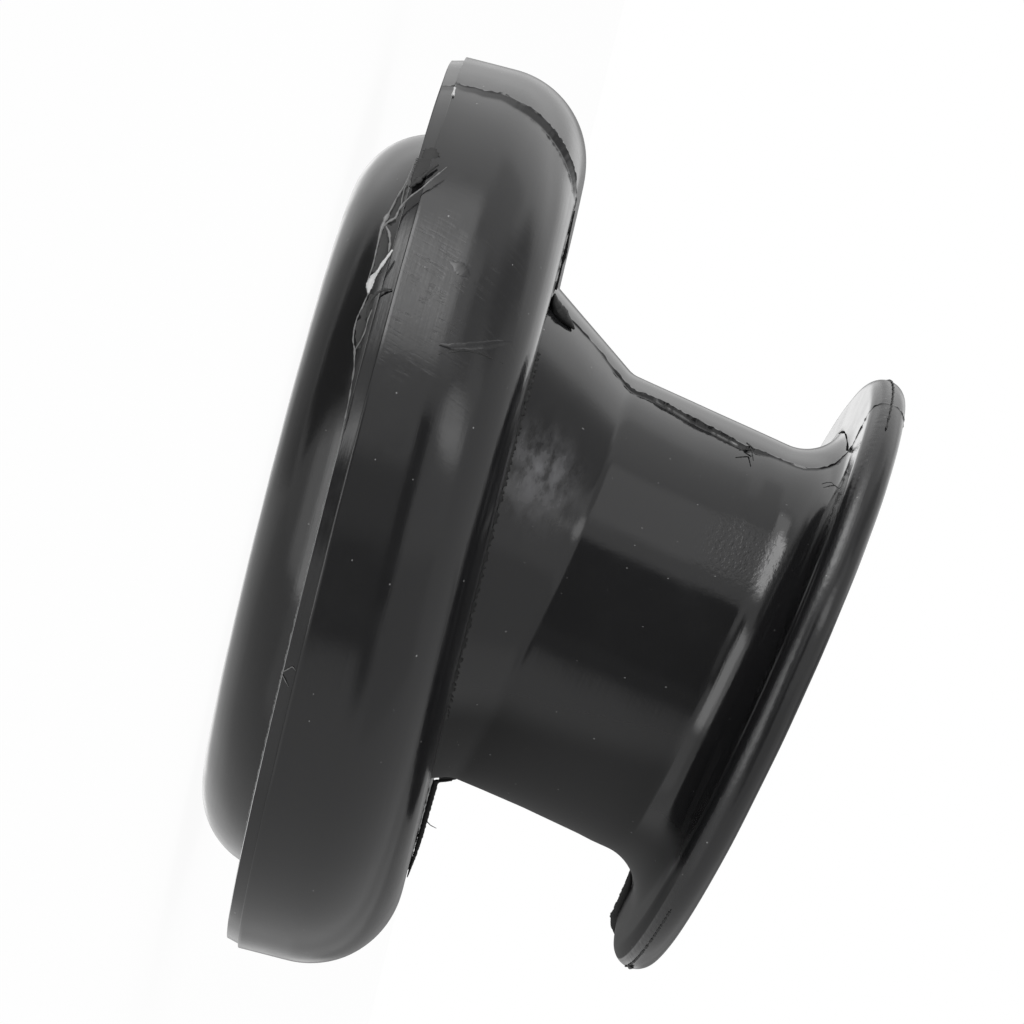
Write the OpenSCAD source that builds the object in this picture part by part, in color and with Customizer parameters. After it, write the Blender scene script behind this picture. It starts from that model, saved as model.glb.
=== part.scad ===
// Rubber grommet with a tilted sleeve, moulded in one piece.
// It stands on the flat of its nose, with Z along the flange axis.
// The sleeve leans towards +X, so the mould parts in the XZ plane.

/* [Flange] */
// Outer diameter of the flange
flange_d = 50; // [48:0.5:60]
// Thickness from the panel seat to the back face
flange_t = 5.8; // [5.6:0.1:9]
// Radius of the rounded back corner
flange_corner_r = 5.1; // [3:0.1:5.5]
// Thickness of the sealing skirt at its root
skirt_root_t = 2.4; // [1.8:0.1:2.8]
// Thickness of the sealing skirt at its free edge
skirt_edge_t = 1.5; // [0.8:0.1:1.8]
// How far the skirt reaches past the panel seat
skirt_reach = 2.8; // [0.5:0.1:3]
// Width of the hollow ring between seat and skirt
hollow_w = 1.7; // [1:0.1:2]
// Depth of the hollow ring above the panel seat
hollow_depth = 3; // [2:0.1:3.4]
// Height of the narrow band moulded round the skirt edge
band_h = 0.7; // [0.3:0.1:1.5]
// How far the band is set back from the flange rim
band_step = 0.2; // [0.05:0.05:0.4]

/* [Nose] */
// Largest diameter of the nose
nose_d = 41.2; // [39:0.1:42]
// Height of the nose from its face to the shoulder
nose_h = 4.7; // [4.7:0.1:6]
// Radius of the rounded front of the nose
nose_front_r = 4.4; // [2:0.1:4.4]
// Radius of the small round on the shoulder
shoulder_r = 0.2; // [0.1:0.05:0.25]
// Thickness of panel that the groove takes
groove_w = 1.5; // [1:0.1:3]
// Diameter at the bottom of the panel groove
groove_d = 36.2; // [34:0.1:37.5]
// Diameter of the mouth in the nose
mouth_d = 27; // [24:0.1:28]
// Size of the lead-in chamfer round the mouth
mouth_chamfer = 0.8; // [0.2:0.1:1.2]

/* [Sleeve] */
// Angle between the sleeve and the flange axis
sleeve_tilt = 10.8; // [0:0.1:15]
// Height above the nose face at which the two axes cross
crossing_h = 7.5; // [7:0.1:9.5]
// Outer diameter of the sleeve
sleeve_d = 24.2; // [23:0.1:26]
// Diameter of the bore
bore_d = 19.5; // [16:0.1:20.5]
// Length from the axes' crossing to the end face
sleeve_len = 21.8; // [18:0.1:40]
// Length from the axes' crossing to the end of the cone
cone_len = 7.7; // [6:0.1:9]
// Slope of the cone to the sleeve axis
cone_angle = 25; // [15:1:30]

/* [End lip] */
// Outer diameter of the end lip
end_lip_d = 35.1; // [32:0.1:38]
// Thickness of the end lip, with a full round rim
end_lip_t = 2.2; // [1.6:0.1:3.4]
// Radius of the fillet between sleeve and end lip
end_fillet_r = 2.6; // [1:0.1:3]
// Radius round the outer end of the bore
bore_edge_r = 0.6; // [0.2:0.1:0.9]

/* [Hidden] */
$fn = 128;
rubber = [0.10, 0.10, 0.11];
over = 1;
flange_r = flange_d / 2;
seat_h = nose_h + groove_w;
back_h = seat_h + flange_t;
skirt_edge_h = seat_h - skirt_reach;
hollow_top_h = seat_h + hollow_depth;
hollow_outer_r = flange_r - skirt_root_t;
hollow_inner_r = hollow_outer_r - hollow_w;
nose_r = nose_d / 2;
groove_r = groove_d / 2;
mouth_r = mouth_d / 2;
sleeve_r = sleeve_d / 2;
bore_r = bore_d / 2;
end_lip_r = end_lip_d / 2;
end_lip_h = sleeve_len - end_lip_t;
cone_root_r = sleeve_r + cone_len * tan(cone_angle);
wall = sleeve_r - bore_r;

// Depth of the dome's centre below the crossing that leaves one wall
// between the dome and the cone outside it
dome_drop = (mouth_r + wall - cone_root_r * cos(cone_angle)) / sin(cone_angle);

grommet();

module grommet() {
    color(rubber)
        difference() {
            union() {
                rotate_extrude() flange_profile();
                on_sleeve_axis() rotate_extrude() sleeve_profile();
            }
            nose_mouth();
            on_sleeve_axis() rotate_extrude() bore_profile();
        }
}

// Moves a shape from the origin to the point where the axes cross, and tilts it
module on_sleeve_axis() {
    translate([0, 0, crossing_h]) rotate([0, sleeve_tilt, 0]) children();
}

// Half section of the flange, the groove and the nose, as radius and height
module flange_profile() {
    square([groove_r, back_h - flange_corner_r]);
    nose_profile();
    difference() {
        rim_profile();
        translate([0, skirt_edge_h - over]) square([hollow_inner_r, seat_h - skirt_edge_h + over]);
        hollow_profile();
    }
}

// The nose: a disc with a full quarter round in front and a flat shoulder behind
module nose_profile() {
    square([nose_r - nose_front_r, nose_h]);
    translate([nose_r - nose_front_r, nose_front_r]) quarter_disc(nose_front_r, -1);
    translate([0, nose_front_r]) square([nose_r - shoulder_r, nose_h - nose_front_r]);
    translate([0, nose_front_r]) square([nose_r, nose_h - nose_front_r - shoulder_r]);
    translate([nose_r - shoulder_r, nose_h - shoulder_r]) quarter_disc(shoulder_r, 1);
}

// The flange's outside: the set-back band, the rim and the rounded back corner
module rim_profile() {
    translate([0, skirt_edge_h]) square([flange_r - band_step, band_h]);
    translate([0, skirt_edge_h + band_h])
        square([flange_r, back_h - flange_corner_r - skirt_edge_h - band_h]);
    translate([0, back_h - flange_corner_r]) square([flange_r - flange_corner_r, flange_corner_r]);
    translate([flange_r - flange_corner_r, back_h - flange_corner_r]) quarter_disc(flange_corner_r, 1);
}

// The hollow ring that lets the skirt bend: a slot with a round top, wider at its mouth
module hollow_profile() {
    round_h = hollow_top_h - hollow_w / 2;
    polygon([
        [hollow_inner_r, skirt_edge_h - over],
        [flange_r - skirt_edge_t, skirt_edge_h - over],
        [flange_r - skirt_edge_t, skirt_edge_h],
        [hollow_outer_r, round_h],
        [hollow_inner_r, round_h],
    ]);
    translate([hollow_inner_r + hollow_w / 2, round_h]) circle(d = hollow_w);
}

// A quarter of a disc on the +X side, above the X axis for side 1 and below it for side -1
module quarter_disc(radius, side) {
    intersection() {
        circle(radius);
        translate([0, side > 0 ? 0 : -radius]) square(radius);
    }
}

// Half section of the cone, the sleeve and the end lip, from the crossing of the axes
module sleeve_profile() {
    polygon([[0, 0], [cone_root_r, 0], [sleeve_r, cone_len], [sleeve_r, sleeve_len], [0, sleeve_len]]);
    translate([0, end_lip_h]) square([end_lip_r - end_lip_t / 2, end_lip_t]);
    translate([end_lip_r - end_lip_t / 2, end_lip_h + end_lip_t / 2]) circle(d = end_lip_t);
    translate([0, end_lip_h - end_fillet_r])
        difference() {
            square([sleeve_r + end_fillet_r, end_fillet_r]);
            translate([sleeve_r + end_fillet_r, 0]) circle(end_fillet_r);
        }
}

// Half section of the bore, which opens out in a round edge at the end face
module bore_profile() {
    square([bore_r, sleeve_len + over]);
    difference() {
        translate([0, sleeve_len - bore_edge_r]) square([bore_r + bore_edge_r, bore_edge_r + over]);
        translate([bore_r + bore_edge_r, sleeve_len - bore_edge_r]) circle(bore_edge_r);
        translate([bore_r + bore_edge_r, sleeve_len - bore_edge_r])
            square([over, bore_edge_r + 2 * over]);
    }
}

// The mouth in the nose: a chamfered cylinder on the flange axis under a round dome
module nose_mouth() {
    dome_h = crossing_h - dome_drop;
    rotate_extrude() {
        translate([0, -over]) square([mouth_r, dome_h + over]);
        polygon([
            [0, -over],
            [mouth_r + mouth_chamfer + over, -over],
            [mouth_r, mouth_chamfer],
            [0, mouth_chamfer],
        ]);
        intersection() {
            translate([0, dome_h]) circle(mouth_r);
            translate([0, dome_h]) square(mouth_r);
        }
    }
}
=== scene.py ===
"""A black rubber grommet with a tilted sleeve, standing on its nose in a white studio."""
import math

import bpy
import numpy as np
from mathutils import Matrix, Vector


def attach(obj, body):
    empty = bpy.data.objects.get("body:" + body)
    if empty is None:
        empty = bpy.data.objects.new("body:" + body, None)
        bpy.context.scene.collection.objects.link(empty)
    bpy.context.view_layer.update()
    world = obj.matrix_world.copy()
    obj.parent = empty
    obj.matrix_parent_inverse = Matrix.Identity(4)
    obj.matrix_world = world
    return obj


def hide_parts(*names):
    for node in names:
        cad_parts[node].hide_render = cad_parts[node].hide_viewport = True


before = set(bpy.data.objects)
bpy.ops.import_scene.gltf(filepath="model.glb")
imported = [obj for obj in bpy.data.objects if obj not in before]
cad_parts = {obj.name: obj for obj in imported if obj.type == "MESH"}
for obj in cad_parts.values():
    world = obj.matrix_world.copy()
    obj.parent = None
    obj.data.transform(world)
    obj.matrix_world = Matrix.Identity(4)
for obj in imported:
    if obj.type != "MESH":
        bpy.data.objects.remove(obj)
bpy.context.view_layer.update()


# The moulding: nose, panel groove, skirt, flange, cone, sleeve and end lip are one piece
# of black EPDM rubber, compression moulded in two halves that part in the XZ plane. The
# skirt grips the panel, and the lip keeps a clamp band on the sleeve.

MM = 0.001

FLANGE_R = 25.0
BACK_Z = 12.0
CORNER_R = 5.1
SKIRT_Z = 3.4
SKIRT_EDGE_R = 23.5
BAND_R = 24.8
BAND_LOW_R = 24.63
BAND_TOP_Z = 4.1
SEAT_Z = 6.2
HOLLOW_IN_R = 20.9
HOLLOW_OUT_R = 22.6
HOLLOW_ROUND_Z = 8.35
GROOVE_R = 18.1
NOSE_R = 20.6
NOSE_Z = 4.7
NOSE_ROUND_R = 4.4
SHOULDER_R = 0.2
MOUTH_R = 13.5
MOUTH_CHAMFER = 0.8
EDGE_ROUND_R = 0.06

TILT = math.radians(10.8)
CROSSING_Z = 7.5
SLEEVE_R = 12.1
BORE_R = 9.75
SLEEVE_LEN = 21.8
CONE_LEN = 7.7
CONE_SLOPE = math.radians(25)
CONE_ROOT_R = SLEEVE_R + CONE_LEN * math.tan(CONE_SLOPE)
CONE_FOOT_R = 14.5
KINK_R = 1.5
LIP_R = 17.55
LIP_T = 2.2
FILLET_R = 2.6
BORE_EDGE_R = 0.6

# The dome over the mouth has its centre where it leaves one sleeve's wall under the cone
WALL = SLEEVE_R - BORE_R
DOME_DROP = (MOUTH_R + WALL - CONE_ROOT_R * math.cos(CONE_SLOPE)) / math.sin(CONE_SLOPE)
DOME_Z = CROSSING_Z - DOME_DROP

# Columns stand close together in a strip on each side of a parting line. The others share
# the rest of each half, and count as far off the line.
PARTING_STRIP = 2.2
HALF_STRIP = np.array([
    0.04, 0.08, 0.14, 0.22, 0.32, 0.42, 0.5, 0.58, 0.72, 0.92, 1.2, 1.5, 1.85, PARTING_STRIP,
])
CLOSE_COLUMNS = np.concatenate([-HALF_STRIP[::-1], [0], HALF_STRIP])
OPEN_COUNT = 96
OPEN_COLUMNS = np.arange(1, OPEN_COUNT + 1) / (OPEN_COUNT + 1)
FAR_OFF = 99.0


def azimuths(radius, low_shift=0.0, high_shift=0.0):
    """Angle of each column on a row of this radius. The close columns keep their distance
    in mm from the two parting lines, which run aside by the given mm towards +Y, and the
    open columns share the rest of each half."""
    radius, low_shift, high_shift = (np.reshape(v, (-1, 1)) for v in (radius, low_shift, high_shift))
    fade = 1 - (CLOSE_COLUMNS / PARTING_STRIP) ** 2
    strip = PARTING_STRIP / radius
    spread = strip + (math.pi - 2 * strip) * OPEN_COLUMNS
    low = (CLOSE_COLUMNS + low_shift * fade) / radius
    high = (CLOSE_COLUMNS - high_shift * fade) / radius
    return np.concatenate([low, spread, math.pi + high, math.pi + spread], axis=1)


def column_offsets():
    """Distance in mm of each column from the parting line on its side of the part, positive
    on the far half (+Y). Columns outside the close strips get a large number."""
    far = np.full(OPEN_COUNT, FAR_OFF)
    return np.concatenate([CLOSE_COLUMNS, far, -CLOSE_COLUMNS, -far])


def straight(start, end, step=0.16):
    """Rows on a straight line from start to end, as radius, height and outward normal,
    which is the direction of travel turned a quarter to the right."""
    start, end = np.array(start, float), np.array(end, float)
    length = np.hypot(*(end - start))
    along = np.linspace(0, 1, max(2, int(round(length / step)) + 1))[:, None]
    points = start + (end - start) * along
    normal = np.array([end[1] - start[1], start[0] - end[0]]) / length
    return np.hstack([points, np.broadcast_to(normal, points.shape)])


def curved(centre, radius, first, last, step):
    """Rows on an arc from one angle to another in degrees: centre plus radius times the
    cosine and sine. The normal points away from the centre where the angle grows, and
    towards it where the angle falls, as in a fillet."""
    length = radius * math.radians(abs(last - first))
    angle = np.radians(np.linspace(first, last, max(3, int(round(length / step)) + 1)))
    spoke = np.stack([np.cos(angle), np.sin(angle)], axis=1)
    points = np.array(centre, float) + radius * spoke
    return np.hstack([points, spoke * (1 if last > first else -1)])


def joined(stretches):
    """Stretches one after the other, without the point that each shares with the last."""
    return np.vstack([stretches[0]] + [stretch[1:] for stretch in stretches[1:]])


def flange_rows():
    """The flange's half section from the top of the mouth, over nose, groove, hollow ring,
    skirt, band and rim, to the inner end of the round back corner."""
    nose_in = NOSE_R - NOSE_ROUND_R
    rim_in = FLANGE_R - CORNER_R
    ring_r = (HOLLOW_OUT_R - HOLLOW_IN_R) / 2
    return joined([
        straight((MOUTH_R, DOME_Z), (MOUTH_R, MOUTH_CHAMFER), 1.0),
        straight((MOUTH_R, MOUTH_CHAMFER), (MOUTH_R + MOUTH_CHAMFER, 0), 0.4),
        straight((MOUTH_R + MOUTH_CHAMFER, 0), (nose_in, 0), 0.5),
        curved((nose_in, NOSE_ROUND_R), NOSE_ROUND_R, -90, 0, 0.3),
        straight((NOSE_R, NOSE_ROUND_R), (NOSE_R, NOSE_Z - SHOULDER_R), 0.1),
        curved((NOSE_R - SHOULDER_R, NOSE_Z - SHOULDER_R), SHOULDER_R, 0, 90, 0.08),
        straight((NOSE_R - SHOULDER_R, NOSE_Z), (GROOVE_R, NOSE_Z), 0.8),
        straight((GROOVE_R, NOSE_Z), (GROOVE_R, SEAT_Z), 0.8),
        straight((GROOVE_R, SEAT_Z), (HOLLOW_IN_R, SEAT_Z), 0.9),
        straight((HOLLOW_IN_R, SEAT_Z), (HOLLOW_IN_R, HOLLOW_ROUND_Z), 0.7),
        curved((HOLLOW_IN_R + ring_r, HOLLOW_ROUND_Z), ring_r, 180, 0, 0.4),
        straight((HOLLOW_OUT_R, HOLLOW_ROUND_Z), (SKIRT_EDGE_R, SKIRT_Z), 0.8),
        straight((SKIRT_EDGE_R, SKIRT_Z), (BAND_LOW_R - EDGE_ROUND_R, SKIRT_Z), 0.3),
        curved((BAND_LOW_R - EDGE_ROUND_R, SKIRT_Z + EDGE_ROUND_R), EDGE_ROUND_R, -90, 0, 0.05),
        straight((BAND_LOW_R, SKIRT_Z + EDGE_ROUND_R), (BAND_R, BAND_TOP_Z), 0.12),
        straight((BAND_R, BAND_TOP_Z), (FLANGE_R - EDGE_ROUND_R, BAND_TOP_Z), 0.1),
        curved((FLANGE_R - EDGE_ROUND_R, BAND_TOP_Z + EDGE_ROUND_R), EDGE_ROUND_R, -90, 0, 0.05),
        straight((FLANGE_R, BAND_TOP_Z + EDGE_ROUND_R), (FLANGE_R, BACK_Z - CORNER_R)),
        curved((rim_in, BACK_Z - CORNER_R), CORNER_R, 0, 90, 0.12),
    ])


def sleeve_rows():
    """The sleeve's half section on its own axis, from the end of the kink under the tube,
    over fillet, end lip and end face, to the outer end of the bore."""
    lip_in_z = SLEEVE_LEN - LIP_T
    rim_mid = LIP_R - LIP_T / 2
    kink_turn = math.degrees(CONE_SLOPE)
    tangent_z = CONE_LEN + KINK_R * math.tan(CONE_SLOPE / 2)
    bore_edge = BORE_R + BORE_EDGE_R
    return joined([
        curved((SLEEVE_R + KINK_R, tangent_z), KINK_R, 180 + kink_turn, 180, 0.1),
        straight((SLEEVE_R, tangent_z), (SLEEVE_R, lip_in_z - FILLET_R), 0.15),
        curved((SLEEVE_R + FILLET_R, lip_in_z - FILLET_R), FILLET_R, 180, 90, 0.14),
        straight((SLEEVE_R + FILLET_R, lip_in_z), (rim_mid, lip_in_z)),
        curved((rim_mid, SLEEVE_LEN - LIP_T / 2), LIP_T / 2, -90, 90, 0.12),
        straight((rim_mid, SLEEVE_LEN), (bore_edge, SLEEVE_LEN), 0.6),
        curved((bore_edge, SLEEVE_LEN - BORE_EDGE_R), BORE_EDGE_R, 90, 180, 0.2),
    ])


# Rows on the stretches that aren't revolves, and how many rows lie between the end of the
# polish and the lip's rim, and between the end of the flash and that of the section
BACK_ROWS = 24
CONE_ROWS = 34
BORE_ROWS = 10
DOME_ROWS = 6
ROWS_FROM_POLISH_TO_RIM = 6
ROWS_FROM_FLASH_TO_END = 12


def lean(x, y, z):
    """Points from the sleeve's own axes to the part's: tilted towards +X about Y, then
    raised to the point where the two axes cross."""
    return (
        x * math.cos(TILT) + z * math.sin(TILT),
        y,
        -x * math.sin(TILT) + z * math.cos(TILT) + CROSSING_Z,
    )


def wobble(along, seed, shortest, longest, count=14):
    """A smooth random line of about unit height over a length in mm: a sum of sines with
    wavelengths between the shortest and the longest, in seeded random phases."""
    random = np.random.default_rng(seed)
    waves = np.geomspace(shortest, longest, count)
    phases = random.uniform(0, 2 * math.pi, count)
    heights = random.normal(0, 1, count) * (waves / longest) ** 0.35
    line = sum(h * np.sin(2 * math.pi * along / w + p) for h, w, p in zip(heights, waves, phases))
    return line / np.sqrt((heights ** 2).sum() / 2)


def moulding_surface(low_shift=0.0, high_shift=0.0):
    """Every point of the closed surface, as rows along the section and columns round it.
    The parting lines run aside by the given mm, one number for all rows or one for each.
    Returns places and outward normals in mm, and row by row the distance along the
    section, how polished the mould was, and how much flash the parting lines carry."""
    flange = flange_rows()
    sleeve = sleeve_rows()
    parts = [len(flange), BACK_ROWS, CONE_ROWS, len(sleeve) - 1, BORE_ROWS, DOME_ROWS]
    first = np.concatenate([[0], np.cumsum(parts)])
    rows = first[-1]
    low_shift, high_shift = (np.broadcast_to(shift, rows) for shift in (low_shift, high_shift))

    def turned(radius, start):
        stop = start + len(radius)
        return azimuths(radius, low_shift[start:stop], high_shift[start:stop])

    # Flange: a revolve about Z
    angle = turned(flange[:, 0], 0)
    radius, height = flange[:, :1], flange[:, 1:2]
    flange_xyz = np.stack([radius * np.cos(angle), radius * np.sin(angle), height + 0 * angle])
    flange_normal = np.stack([
        flange[:, 2:3] * np.cos(angle), flange[:, 2:3] * np.sin(angle), flange[:, 3:4] + 0 * angle,
    ])

    # Cone: lines of the cone from the plane of the flange's back to the kink
    turn = turned(np.linspace(CONE_FOOT_R, SLEEVE_R, CONE_ROWS), first[2])
    root = (BACK_Z - CROSSING_Z + CONE_ROOT_R * np.cos(turn[0]) * math.sin(TILT)) / (
        math.cos(TILT) + math.tan(CONE_SLOPE) * np.cos(turn[0]) * math.sin(TILT))
    top = CONE_LEN - KINK_R * math.tan(CONE_SLOPE / 2) * math.cos(CONE_SLOPE)
    share = np.linspace(0, 1, CONE_ROWS)[:, None]
    rise = root + (top - root) * share
    reach = CONE_ROOT_R - rise * math.tan(CONE_SLOPE)
    cone_xyz = np.stack(lean(reach * np.cos(turn), reach * np.sin(turn), rise))
    slope_out = math.cos(CONE_SLOPE)
    slope_up = math.sin(CONE_SLOPE) + 0 * turn
    cone_normal = np.stack(lean(slope_out * np.cos(turn), slope_out * np.sin(turn), slope_up))
    cone_normal[2] -= CROSSING_Z

    # Back face: straight lines from the corner's inner end to the foot of the cone
    back_share = np.linspace(0, 1, BACK_ROWS + 2)[1:-1].reshape(1, -1, 1)
    back_xyz = flange_xyz[:, -1:, :] * (1 - back_share) + cone_xyz[:, :1, :] * back_share
    back_normal = np.zeros_like(back_xyz)
    back_normal[2] = 1

    # Sleeve: a revolve about the tilted axis
    turn = turned(sleeve[:, 0], first[3] - 1)
    radius, height = sleeve[:, :1], sleeve[:, 1:2]
    sleeve_xyz = np.stack(lean(radius * np.cos(turn), radius * np.sin(turn), height + 0 * turn))
    sleeve_normal = np.stack(lean(
        sleeve[:, 2:3] * np.cos(turn), sleeve[:, 2:3] * np.sin(turn), sleeve[:, 3:4] + 0 * turn))
    sleeve_normal[2] -= CROSSING_Z

    # Bore: lines of the bore from its edge down to the dome over the mouth
    turn = azimuths(np.full(BORE_ROWS, BORE_R))
    side = BORE_R * np.cos(turn[0]) * math.sin(TILT)
    half = DOME_DROP * math.cos(TILT)
    spare = MOUTH_R ** 2 - BORE_R ** 2 - DOME_DROP ** 2 + 2 * side * DOME_DROP
    foot = -half + np.sqrt(half ** 2 + spare)
    share = np.linspace(0, 1, BORE_ROWS + 1)[1:, None]
    rise = SLEEVE_LEN - BORE_EDGE_R + (foot - SLEEVE_LEN + BORE_EDGE_R) * share
    bore_xyz = np.stack(lean(BORE_R * np.cos(turn), BORE_R * np.sin(turn), rise))
    bore_normal = np.stack(lean(-np.cos(turn), -np.sin(turn), 0 * turn))
    bore_normal[2] -= CROSSING_Z

    # Dome: spokes of one sphere, which swing from the bore's foot to the mouth's top
    centre = np.array([0, 0, DOME_Z]).reshape(3, 1, 1)
    share = np.linspace(0, 1, DOME_ROWS + 2)[1:-1].reshape(1, -1, 1)
    spoke = (bore_xyz[:, -1:, :] - centre) * (1 - share) + (flange_xyz[:, :1, :] - centre) * share
    spoke = spoke / np.sqrt((spoke ** 2).sum(axis=0))
    dome_xyz = centre + MOUTH_R * spoke

    xyz = np.concatenate(
        [flange_xyz, back_xyz, cone_xyz, sleeve_xyz[:, 1:], bore_xyz, dome_xyz], axis=1)
    normal = np.concatenate(
        [flange_normal, back_normal, cone_normal, sleeve_normal[:, 1:], bore_normal, -spoke], axis=1)

    # Lengths along the section in the middle of the near half, and the finish of each row
    middle = xyz[:, :, -OPEN_COUNT // 2]
    along = np.concatenate([[0], np.cumsum(np.sqrt((np.diff(middle, axis=1) ** 2).sum(axis=0)))])
    row = np.arange(rows)
    rim_row = first[3] + int(np.argmax(sleeve[:, 0])) - ROWS_FROM_POLISH_TO_RIM
    polish = ((row >= first[2]) & (row < rim_row)).astype(float)
    band_row = int(np.argmax(flange[:, 0] > BAND_LOW_R - 0.01))
    last_row = first[3] + len(sleeve) - ROWS_FROM_FLASH_TO_END
    flash = ((row >= band_row) & (row < last_row)).astype(float)
    return xyz, normal, along, polish, flash


# How much lower the near half of the moulding lies at a parting line than the far half, as
# distance along the section and drop in mm: the halves of the mould didn't quite match
PARTING_STEP = [
    (31.6, 0.04), (32.6, 0.1), (34.5, 0.18), (36.5, 0.26), (39.0, 0.26), (41.0, 0.16), (42.0, 0.02),
    (49.0, 0.02), (50.5, 0.04), (52.0, 0.1), (54.0, 0.22), (56.5, 0.28), (58.5, 0.2), (59.8, 0.14),
    (60.6, 0.04), (64.0, 0.05), (66.0, 0.0),
]

# The step slopes over this width in mm on the flange, and on cone and sleeve, which start
# at this distance along the section
STEP_RAMP_FLANGE = 0.6
STEP_RAMP_SLEEVE = 0.2
CONE_ALONG = 49

# A feather of rubber stands up on the parting lines: in mm, its mean height, how much that
# varies, its greatest height, and its half width
FEATHER_HEIGHT = 0.03
FEATHER_VARIES = 0.025
FEATHER_MOST = 0.06
FEATHER_WIDTH = 0.055

# The whole skin lies a little inside the nominal one, and near the parting lines more, so
# that feathers, fins and waves stay within the nominal size
SKIN_SUNK = 0.02
LINE_SUNK = 0.07
LINE_REACH = 6.0
WAVE_HEIGHT = 0.005

# The band stands upright in the middle of the near side, by growing at its foot: azimuths
# in degrees, distances along the section to the band's foot and the rim, and growth in mm
UPRIGHT_FROM = 236
UPRIGHT_TO = 318
UPRIGHT_FADE = 8
BAND_ALONG = 30.7
RIM_ALONG = 31.6
FOOT_GROWTH = 0.14


def dress_surface(xyz, normal, along, flash):
    """Moves the points as the mould left them: a sloping step at each parting line, which
    fades out over the near half, a thin feather on the line, the band upright in the middle
    of the near side, and waves of a hundredth of a millimetre that are 6 to 11 mm long."""
    x, y, z = xyz
    line = column_offsets()
    step = np.interp(along, *np.transpose(PARTING_STEP))[:, None]
    ramp = np.where(along < CONE_ALONG, STEP_RAMP_FLANGE, STEP_RAMP_SLEEVE)[:, None]
    near_half = 1 - np.clip(1 + line / ramp, 0, 1)
    feather = FEATHER_HEIGHT + FEATHER_VARIES * wobble(along, 21, 0.35, 2.0)
    feather = np.clip(feather, 0.0, FEATHER_MOST)[:, None]
    upright = feather * np.exp(-(line / FEATHER_WIDTH) ** 2)
    sunk = (LINE_SUNK + near_half * step) * np.exp(-(y / LINE_REACH) ** 2)
    azimuth = np.degrees(np.arctan2(y, x)) % 360
    past_start = np.clip((azimuth - UPRIGHT_FROM) / UPRIGHT_FADE, 0, 1)
    before_end = np.clip((UPRIGHT_TO - azimuth) / UPRIGHT_FADE, 0, 1)
    on_band = (along > BAND_ALONG) & (along < RIM_ALONG)
    to_rim = on_band * (RIM_ALONG - along) / (RIM_ALONG - BAND_ALONG)
    upright += past_start * before_end * (FOOT_GROWTH * to_rim)[:, None]
    swell = np.sin(x / 1.1 + 2.0) * np.sin(y / 0.95 + 0.6)
    swell += np.sin(y / 1.3 + z / 1.7) * np.sin(x / 1.5 - z / 0.9)
    above_floor = np.clip(z / 0.5, 0, 1)
    xyz += normal * ((upright - sunk) * flash[:, None])
    xyz += normal * (WAVE_HEIGHT * swell - SKIN_SUNK) * above_floor
    return xyz


def grid_mesh(name, xyz, wrap_rows, wrap_columns, u_mm=None, v_mm=None, attributes=None):
    """A mesh from a grid of points in mm, with one quad between four neighbours. Rows and
    columns may close on themselves. The UV map holds millimetres along and round."""
    rows, columns = xyz.shape[1:]
    row = np.arange(rows if wrap_rows else rows - 1)[:, None]
    column = np.arange(columns if wrap_columns else columns - 1)[None, :]
    next_row, next_column = (row + 1) % rows, (column + 1) % columns
    quads = np.stack([
        row * columns + column, row * columns + next_column,
        next_row * columns + next_column, next_row * columns + column,
    ], axis=-1).reshape(-1, 4)
    mesh = bpy.data.meshes.new(name)
    mesh.vertices.add(rows * columns)
    mesh.loops.add(quads.size)
    mesh.polygons.add(len(quads))
    mesh.vertices.foreach_set("co", (xyz * MM).reshape(3, -1).T.astype(np.float32).ravel())
    mesh.loops.foreach_set("vertex_index", quads.astype(np.int32).ravel())
    mesh.polygons.foreach_set("loop_start", np.arange(0, quads.size, 4, dtype=np.int32))
    mesh.polygons.foreach_set("use_smooth", np.ones(len(quads), bool))
    if u_mm is not None:
        layer = mesh.uv_layers.new(name="millimetres")
        u = np.broadcast_to(u_mm, (rows, columns)).reshape(-1)[quads]
        v = np.broadcast_to(v_mm, (rows, columns)).reshape(-1)[quads]
        layer.data.foreach_set("uv", np.stack([u, v], axis=-1).astype(np.float32).ravel())
    for key, values in (attributes or {}).items():
        field = mesh.attributes.new(key, "FLOAT", "POINT")
        values = np.broadcast_to(values, (rows, columns)).astype(np.float32)
        field.data.foreach_set("value", values.ravel())
    mesh.update(calc_edges=True)
    mesh.validate()
    mesh.set_sharp_from_angle(angle=math.radians(45))
    piece = bpy.data.objects.new(name, mesh)
    bpy.context.scene.collection.objects.link(piece)
    return piece


# How far the high side's parting line runs aside: distance along the section and shift, in mm
HIGH_LINE = [
    (31.8, 0.24), (32.2, 0.0), (32.8, 0.25), (33.3, 0.1), (34.2, 0.45), (34.6, 0.24), (35.0, 0.0),
    (35.7, -0.13), (36.9, -0.24), (37.6, -0.5), (39.7, -0.52), (40.5, -0.4), (41.4, -0.5), (44.0, 0.1),
    (49.5, 0.45), (50.1, 0.6), (50.5, 0.7), (50.9, 0.65), (51.3, 0.38), (52.1, 0.22), (53.4, 0.6),
    (54.6, 0.48), (55.5, 0.24), (57.7, -0.05), (58.7, -0.38), (59.6, -0.22), (61.6, 0.0), (64.2, -0.45),
    (64.6, -0.2), (67.0, -0.13), (69.0, 0.1),
]

# Radius in mm that turns the angle round the part into the length in its UV map
ROUND_R = 20

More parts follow.
